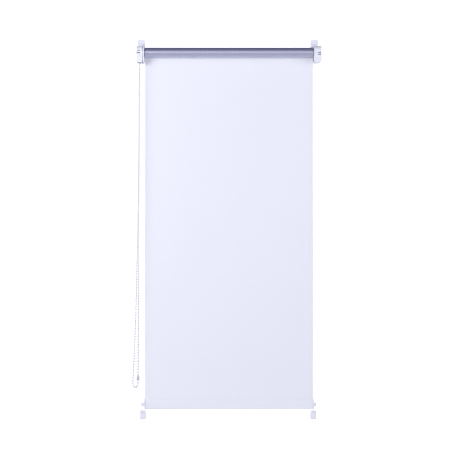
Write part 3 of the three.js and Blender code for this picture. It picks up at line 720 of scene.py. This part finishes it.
@dataclass
class BallChain:
    """The drive's endless ball chain: its free loop, the beads on the wheel, and its joining clip."""

    bead: float = 4.5 * MM
    pitch: float = 6 * MM
    cord: float = 1.2 * MM
    wheel_pitch_radius: float = 9.549 * MM
    lead: float = 8.3 * MM  # chain inside the wheel's groove below the axle, on each side
    wheel_x: float = -0.1969
    across: tuple = (0.82, -0.57, 0.0)  # square to the plane that the loop bends in
    route: np.ndarray = field(init=False, default=None)

    def strand(self, name: str, line: np.ndarray, first: float, count: int, step: float,
               across: tuple) -> bpy.types.Object:
        """Beads and their cord along a line.

        Args:
            name: The piece's name.
            line: The cord's middle line.
            first: How far along it the first bead sits.
            count: How many beads there are.
            step: Their spacing.
            across: A direction that the line never runs in.

        Returns:
            The strand.
        """
        run = run_of(line)
        where = first + step * np.arange(count)
        along, side, _ = frames(line, across)
        picked = [at_lengths(v, run, where) for v in (line, along, side)]
        for vector in picked[1:]:
            vector /= np.linalg.norm(vector, axis=1, keepdims=True)
        points, faces = joined(beads(*picked, self.bead / 2), tube(line, self.cord / 2, across, 6))
        piece = mesh_object(name, points, faces, [Finish.CHAIN.material])
        turn_outwards(piece)
        return piece

    def build_loop(self) -> bpy.types.Object:
        """The free loop of beads on their cord, hanging from the wheel."""
        self.route = evenly(CHAIN_ROUTE, 2 * MM)
        length = run_of(self.route)[-1]
        first = 2 * self.pitch - self.lead
        gaps = round((length - 2 * first) / self.pitch)
        step = (length - 2 * first) / gaps
        loop = self.strand("bead_chain", self.route, first, gaps + 1, step, self.across)
        settle(loop, "chain", Finish.CHAIN, "drive_chain")
        LOG.info("free loop: %.4f m, %d beads %.3f mm apart", length, gaps + 1, step / MM)
        return loop

    def build_wrap(self) -> bpy.types.Object:
        """The beads that lie in the wheel's pockets, and their leads down into the free loop."""
        angle = np.linspace(math.pi, 0, 41)
        y = AXLE_Y + self.wheel_pitch_radius * np.cos(angle)
        z = AXLE_Z + self.wheel_pitch_radius * np.sin(angle)
        arc = np.stack([np.full_like(angle, self.wheel_x), y, z], -1)
        drop = np.array([0, 0, -self.lead])
        line = np.concatenate([arc[:1] + drop, arc, arc[-1:] + drop])
        line = evenly(line, 0.8 * MM)
        length = run_of(line)[-1]
        wrap = self.strand("bead_chain_on_wheel", line, self.lead - self.pitch, 8,
                           (length - 2 * (self.lead - self.pitch)) / 7, (1, 0, 0))
        return settle(wrap, "chain", Finish.CHAIN, "chain_wrap")

    def build(self) -> None:
        """Makes the chain: its free loop, the beads on the wheel, and its joining clip."""
        loop = self.build_loop()
        self.build_wrap()
        clip = softened("chain_connector", Finish.ACETAL, 0.15 * MM)


@dataclass
class GuideStrings:
    """The two nylon strings that keep the bottom bar in line, drawn tight from bracket to holder."""

    diameter: float = 1 * MM
    top_z: float = -0.0433
    foot_z: float = -0.822
    sides: dict = field(default_factory=lambda: {"left": (-0.1919, -0.1898), "right": (0.190, 0.1872)})

    def build(self) -> None:
        """Makes both strings."""
        for side, (top, foot) in self.sides.items():
            share = np.linspace(0, 1, 60)[:, None]
            head = np.array([top, CLOTH_Y, self.top_z])
            line = head + share * (np.array([foot, CLOTH_Y, self.foot_z]) - head)
            points, faces = tube(line, self.diameter / 2, (1, 0, 0), 12)
            string = mesh_object(f"nylon_string_{side}", points, faces, [Finish.NYLON.material])
            turn_outwards(string)
            sharpen(string, 50)
            settle(string, "mounting", Finish.NYLON, f"guide_string_{side}")


@dataclass
class Cloth:
    """The cloth: what is wound on the tube, what hangs, and the pocket at its foot."""

    half: float = 0.185
    gauge: float = 0.28 * MM
    outer: float = 10.95 * MM
    inner: float = 9.13 * MM  # over the tape
    turns: float = 6.25
    seam_z: float = -0.786
    lowest_z: float = -0.0545  # the seam's place with the blind all the way up

    def build_roll(self) -> None:
        """The wound cloth: r = outer - (outer - inner) a / total, from the rear over the top, silver out."""
        rows, cols = 576, 13  # about 92 rows a turn
        angle = np.linspace(0, self.turns * TURN, rows)[:, None]
        x = np.linspace(-1, 1, cols)[None]
        uneven = 0.12 * MM * np.sin(1.7 * angle) + 0.08 * MM * np.sin(0.61 * angle + 1)
        across = x * (self.half - np.abs(uneven)) + 0 * angle
        radius = self.outer - (self.outer - self.inner) * angle / angle[-1, 0] + 0 * x
        ends = np.stack([across, 0 * across, 0 * across], -1)
        ray = np.stack([0 * across, np.cos(angle) + 0 * x, np.sin(angle) + 0 * x], -1)
        middle = ends + np.array([0, AXLE_Y, AXLE_Z])
        out, into = middle + radius[..., None] * ray, middle + (radius - self.gauge)[..., None] * ray
        lay = np.stack([across, -radius * angle, 0 * across], -1)
        roll = slab("wound_cloth", into, out, [Finish.CLOTH.material, Finish.SILVER.material], lay)
        settle(roll, "roller", Finish.SILVER, "fabric_roll")

    def build_drop(self) -> None:
        """The hanging cloth, from the rear of the roll down to the pocket's seam.

        It is pulled flat by its bar, with its edges cupped a little towards the room and slow waves of
        under half a millimetre: y = y0 - cup |x|^6 e + w sin(...) e, where e is 0 at both ends.
        """
        rows, cols = 110, 41
        z = np.linspace(AXLE_Z, self.seam_z, rows)[:, None]
        x = np.linspace(-1, 1, cols)[None]
        share = (AXLE_Z - z) / (AXLE_Z - self.seam_z)
        ease = np.sin(math.pi * share) ** 0.7
        cup = 0.45 * MM * np.abs(x) ** 6
        wave = 0.22 * MM * np.sin(5.2 * x + 2.1 * share + 0.6) + 0.14 * MM * np.sin(11 * x - 4 * share)
        back = CLOTH_Y - cup * ease + wave * ease
        across = x * self.half + 0 * z
        face = np.stack([across, back, z + 0 * x], -1)
        front = face - np.array([0, self.gauge, 0])
        lay = np.stack([across, z - AXLE_Z + 0 * x, 0 * across], -1)
        drop = slab("hanging_cloth", front, face, [Finish.CLOTH.material, Finish.SILVER.material], lay)
        settle(drop, "mounting", Finish.CLOTH, "fabric_drop")
        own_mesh(drop)

    def build_pocket(self) -> None:
        """The pocket: the cloth goes down its front, round the bar and up its back to the welded seam."""
        section = np.array([
            (-0.13, -786.0), (-0.30, -787.2), (-0.93, -788.9), (-1.52, -790.7), (-1.68, -794), (-1.68, -804),
            (-1.64, -807.4), (-1.15, -809.1), (0.00, -809.72), (1.15, -809.1), (1.64, -807.4), (1.68, -804),
            (1.68, -794), (1.60, -790.4), (0.75, -788.4), (0.16, -787.2), (0.16, -783.4),
        ]) * MM + np.array([CLOTH_Y, 0])
        line = evenly(section, 0.35 * MM)
        slope = np.gradient(line, axis=0)
        slope /= np.linalg.norm(slope, axis=1, keepdims=True)
        outward = np.stack([slope[:, 1], -slope[:, 0]], -1)
        x = np.linspace(-self.half, self.half, 38)[None]

        def face(offset: float) -> np.ndarray:
            """The grid so far outside the middle line."""
            ring = line + outward * offset
            y, z = ring[:, :1], ring[:, 1:]
            return np.stack([x + 0 * y, y + 0 * x, z + 0 * x], -1)

        down = (self.seam_z - AXLE_Z - run_of(line))[:, None]
        lay = np.stack([x + 0 * down, down + 0 * x, 0 * x + 0 * down], -1)
        sleeve = slab("hem_sleeve", face(-self.gauge / 2), face(self.gauge / 2),
                      [Finish.CLOTH.material, Finish.CLOTH.material], lay)
        settle(sleeve, "bottom_rail", Finish.CLOTH, "hem_pocket")

    def build(self) -> None:
        """Makes the wound cloth, the pocket and the hanging cloth, and dresses the tape."""
        self.build_roll()
        self.build_pocket()
        self.build_drop()
        dress("fixing_tape", Finish.TAPE)


@dataclass(frozen=True)
class CoilSpring:
    """A coil spring round the axle, between the middles of its wire's two ends."""

    start_x: float
    length: float = 9.2 * MM
    radius: float = 4.4 * MM
    wire: float = 0.8 * MM
    turns: int = 8

    def wound(self) -> tuple:
        """Its points and its faces: p = (x + length s, r cos 2 pi n s, r sin 2 pi n s), n turns in all."""
        share = np.linspace(0, 1, 26 * self.turns + 1)
        angle = TURN * self.turns * share
        y, z = AXLE_Y + self.radius * np.cos(angle), AXLE_Z + self.radius * np.sin(angle)
        line = np.stack([self.start_x + self.length * share, y, z], -1)
        return tube(line, self.wire / 2, (1, 0, 0), 10)


@dataclass
class Roller:
    """The tube and what turns with it: the wheel, the plugs and the springs."""

    tube_out: float = 8.5 * MM
    tube_in: float = 7.6 * MM
    half: float = 0.1848
    chamfer: float = 0.15 * MM
    pin_spring_foot: float = 0.1463
    pin_spring_free: float = 13.4 * MM
    pin_travel: float = 6.5 * MM

    def build_tube(self) -> None:
        """The tube, turned from a profile with its ends' edges broken."""
        c, h = self.chamfer, self.half
        profile = [(-h, self.tube_in + c), (-h, self.tube_out - c), (c - h, self.tube_out),
                   (h - c, self.tube_out), (h, self.tube_out - c), (h, self.tube_in + c),
                   (h - c, self.tube_in), (c - h, self.tube_in)]
        barrel = mesh_object("drawn_tube", *turned(profile, 96), [Finish.ALUMINIUM.material])
        turn_outwards(barrel)
        sharpen(barrel)
        settle(barrel, "roller", Finish.ALUMINIUM, "roller_tube")

    def build_springs(self) -> None:
        """The clutch's two springs, and the one that the sliding pin presses."""
        springs = {"wrap_spring_outer": CoilSpring(-0.1915), "wrap_spring_inner": CoilSpring(-0.1796),
                   "idle_spring": CoilSpring(0.1466, 12.8 * MM, 2.5 * MM, 0.6 * MM, 7)}
        for node, sizes in springs.items():
            spring = mesh_object(node + "_wire", *sizes.wound(), [Finish.STEEL.material])
            turn_outwards(spring)
            sharpen(spring, 50)
            settle(spring, "roller", Finish.STEEL, node)
            if node == "idle_spring":
                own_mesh(spring)

    def build(self) -> None:
        """Makes the tube and the springs, and rounds the moulded pieces' edges."""
        self.build_tube()
        self.build_springs()
        dress("chain_wheel", Finish.ACETAL)
        softened("drive_plug", Finish.ACETAL, 0.15 * MM)
        softened("idle_plug", Finish.ACETAL, 0.15 * MM)
        softened("idle_pin", Finish.ACETAL, 0.15 * MM)


@dataclass
class Brackets:
    """The end brackets with their cheeks, hooks, jaws, screws, and the fixed shaft of the chain drive."""

    edge: float = 0.35 * MM

    def build(self) -> None:
        """Rounds every moulded and turned piece's edges."""
        for side in ("left", "right"):
            softened(f"bracket_{side}", Finish.ABS, self.edge)
            softened(f"cheek_{side}", Finish.ABS, self.edge)
            softened(f"top_hook_{side}", Finish.ABS, self.edge)
            softened(f"hook_jaw_{side}", Finish.ABS, self.edge)
            softened(f"clamp_screw_{side}", Finish.STEEL, 0.12 * MM)
            softened(f"string_stop_{side}", Finish.STEEL, 0.2 * MM)
        softened("clutch_core", Finish.ACETAL, 0.2 * MM)
        softened("core_screw", Finish.STEEL, 0.15 * MM)
        softened("core_retainer", Finish.STEEL, 0.08 * MM)
        softened("idle_bush", Finish.ACETAL, 0.15 * MM)


@dataclass
class BottomRail:
    """The bar in the pocket and its end caps."""

    def build(self) -> None:
        """Rounds the caps' edges and dresses the bar."""
        dress("bottom_bar", Finish.ALUMINIUM)
        for side in ("left", "right"):
            softened(f"bar_cap_{side}", Finish.ABS, 0.3 * MM)


@dataclass
class BottomHolders:
    """The holders clipped under the sash, and the screws that clamp the strings in them."""

    def build(self) -> None:
        """Rounds the pieces' edges."""
        for side in ("left", "right"):
            softened(f"bottom_holder_{side}", Finish.ABS, 0.35 * MM)
            softened(f"string_screw_{side}", Finish.ACETAL, 0.12 * MM)


# ---- studio ------------------------------------------------------------------------------------


@dataclass
class Studio:
    """A pale round floor that glows, with painted light in a wedge behind the blind, and sweeps up into a low
    wall, soft lights, and the camera.
    """

    floor_z: float = -1.30
    floor_reach: float = 5.6
    wall_reach: float = 7.6
    wall_top: float = 2.9
    middle_z: float = -0.4
    eye: tuple = (0.0, -5.00835, -0.4135)
    lens: float = 178.44
    dim: float = 0.2  # the floor's own even glow, and how much painted light it gains in the wedge behind the blind
    painted_light_wedge: float = 0.54
    painted_light_apex: float = 5.0  # how far in front of the blind the wedge's sides meet, at the camera

    def build_camera(self) -> None:
        """The camera, level and square to the blind."""
        data = bpy.data.cameras.new("camera")
        data.sensor_width = 36
        data.lens = self.lens
        data.clip_start, data.clip_end = 0.05, 50
        camera = bpy.data.objects.new("camera", data)
        camera.location = self.eye
        camera.rotation_euler = (math.pi / 2, 0, 0)
        bpy.context.scene.collection.objects.link(camera)
        bpy.context.scene.camera = camera

    def build_floor(self) -> None:
        """The floor: flat, then r = reach + w sin a, z = floor + h (1 - cos a) up to the wall's top."""
        a = np.linspace(0, math.pi / 2, 14)
        rise = self.wall_top - self.floor_z
        r = np.concatenate([[0.02], np.linspace(0.4, self.floor_reach, 8)[:-1],
                            self.floor_reach + (self.wall_reach - self.floor_reach) * np.sin(a)])
        z = np.concatenate([np.full(8, self.floor_z), self.floor_z + rise * (1 - np.cos(a))])
        angle = np.arange(96) * TURN / 96
        points = np.stack([r[:, None] * np.cos(angle), r[:, None] * np.sin(angle),
                           z[:, None] + 0 * angle[None]], -1)
        faces = [*grid_faces(len(r), 96, around=True).tolist(), list(range(96))[::-1]]
        material, tree, shader = new_material("painted_studio_floor")
        where = add(tree, "TexCoord").outputs["Object"]
        # The floor glows evenly by itself, and more in a wedge behind the blind: painted light, a pool of
        # glow that no lamp throws. The wedge is laid out to fill the front camera's view, so its sides meet
        # where that camera stands.
        parts = add(tree, "SeparateXYZ", {0: where}).outputs
        behind = add(tree, "MapRange", {"Value": parts["Y"], "From Min": -0.9, "From Max": 0.9, "To Min": 0.0,
                                        "To Max": 0.9}, interpolation_type="SMOOTHSTEP").outputs[0]
        blotch = noise(tree, where, 0.8, 2)
        patchy = add(tree, "Math", {0: blotch, 1: 0.1, 2: behind}, operation="MULTIPLY_ADD")
        tint = ramp(tree, patchy.outputs[0], [(0.0, "#d2d2d8"), (1.0, "#fafafb")])
        tree.links.new(tint, shader.inputs["Base Color"])
        aside = add(tree, "Math", {0: parts["X"]}, operation="ABSOLUTE").outputs[0]
        away = add(tree, "Math", {0: parts["Y"], 1: self.painted_light_apex}, operation="ADD").outputs[0]
        spread = add(tree, "Math", {0: aside, 1: away}, operation="DIVIDE").outputs[0]
        fades = [(parts["Y"], 0.8, 2.4, 0, 1), (spread, 0.12, 0.26, 1, 0), (parts["Z"], 1.0, 2.4, 1, 0)]
        # The painted pool of light: the wedge's glow, faded in behind the blind and out at its sides and high
        # up the wall.
        painted_light_wedge = self.painted_light_wedge
        for value, start, end, low, high in fades:
            fade = add(tree, "MapRange", {"Value": value, "From Min": start, "From Max": end, "To Min": low,
                                          "To Max": high}, interpolation_type="SMOOTHSTEP").outputs[0]
            painted_light_wedge = add(tree, "Math", {0: fade, 1: painted_light_wedge}, operation="MULTIPLY").outputs[0]
        glow = add(tree, "Math", {0: painted_light_wedge, 1: self.dim}, operation="ADD").outputs[0]
        tree.links.new(glow, shader.inputs["Emission Strength"])
        set_sockets(shader, Roughness=0.9)
        shader.inputs["Emission Color"].default_value = linear("#ffffff")
        floor = mesh_object("studio_floor", points.reshape(-1, 3), faces, [material])

    def add_light(self, name: str, at: tuple, size: tuple, watts: float, colour: str) -> None:
        """A soft rectangular light aimed at the middle of the blind.

        Args:
            name: The light's name.
            at: Where it stands.
            size: How wide and how high it is.
            watts: Its power.
            colour: Its colour.
        """
        data = bpy.data.lights.new(name, "AREA")
        data.shape = "RECTANGLE"
        data.size, data.size_y = size
        data.energy = watts
        data.color = linear(colour)[:3]
        light = bpy.data.objects.new(name, data)
        light.location = at
        aim = Vector((0, 0, self.middle_z)) - Vector(at)
        light.rotation_euler = aim.to_track_quat("-Z", "Y").to_euler()
        light.visible_camera = False
        bpy.context.scene.collection.objects.link(light)

    def build_lights(self) -> None:
        """Lights at the sides, front and rear, under a dim bluish sky that the roll's top reflects."""
        lights = [
            ("key_light", (-1.15, -1.3, 0.0), (1.0, 0.7), 15.5, "#fffdfa"),
            ("front_light", (0.1, -3.6, 0.1), (2.4, 1.0), 7, "#fffefc"),
            ("side_light", (1.5, -1.3, 0.0), (0.9, 1.0), 9, "#fffefc"),
            ("rear_light", (0.6, 2.6, 1.0), (1.6, 1.2), 7, "#ffffff"),
        ]
        for light in lights:
            self.add_light(*light)
        world = bpy.data.worlds.new("studio_sky")
        world.use_nodes = True
        tree = world.node_tree
        tree.nodes.clear()
        up = add(tree, "SeparateXYZ", {0: add(tree, "TexCoord").outputs["Generated"]}).outputs["Z"]
        sky = ramp(tree, up, [(0.3, "#dcddec"), (0.8, "#6a6b80")])
        light = add(tree, "Background", {"Color": sky, "Strength": 1.0})
        add(tree, "OutputWorld", {"Surface": light.outputs[0]})
        bpy.context.scene.world = world
        bpy.context.scene.view_settings.view_transform = "Standard"
        bpy.context.scene.cycles.filter_width = 1.1  # a little crisper than usual, for the narrow slits


def main() -> None:
    """Builds the camera and the chain first, then the rest of the blind and its studio."""
    logging.basicConfig(level=logging.INFO, format="%(message)s")
    studio = Studio()
    studio.build_camera()
    for part in (BallChain(), GuideStrings(), Cloth(), Roller(), Brackets(), BottomRail(), BottomHolders()):
        LOG.info("-- %s", type(part).__name__)
        part.build()
    studio.build_floor()
    studio.build_lights()


if __name__ == "__main__":
    main()
